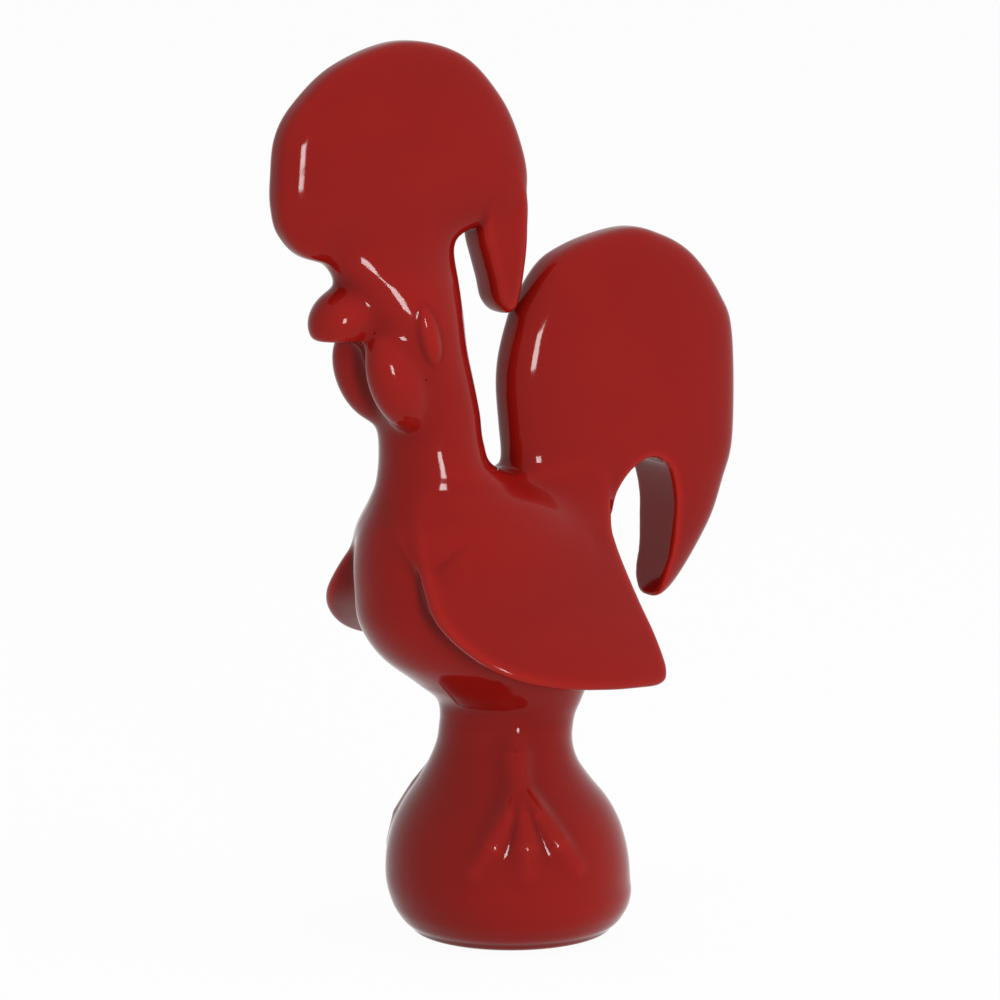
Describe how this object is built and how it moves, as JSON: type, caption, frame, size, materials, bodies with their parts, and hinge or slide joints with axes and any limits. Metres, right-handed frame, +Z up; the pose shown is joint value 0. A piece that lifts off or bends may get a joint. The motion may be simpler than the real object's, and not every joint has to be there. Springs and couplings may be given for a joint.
{
  "type": "rooster of barcelos",
  "caption": "Free-standing glazed clay rooster ornament with a rounded comb, fan tail and flared wings on a bell-shaped base.",
  "frame": {"origin": "middle of the foot, on the ground", "axes": "+Z up, -X the way the bird looks, -Y its left side"},
  "size_m": [0.1178, 0.076, 0.2],
  "materials": {
    "glaze": "glossy"
  },
  "bodies": {
    "root": {"base": "glaze", "body": "glaze", "neck": "glaze", "head": "glaze", "comb": "glaze", "tail": "glaze", "wing_left": "glaze", "wing_right": "glaze", "beak": "glaze", "wattle_left": "glaze", "wattle_right": "glaze", "ear_lobe_left": "glaze", "ear_lobe_right": "glaze", "foot_left": "glaze", "foot_right": "glaze"}
  },
  "joints": []
}
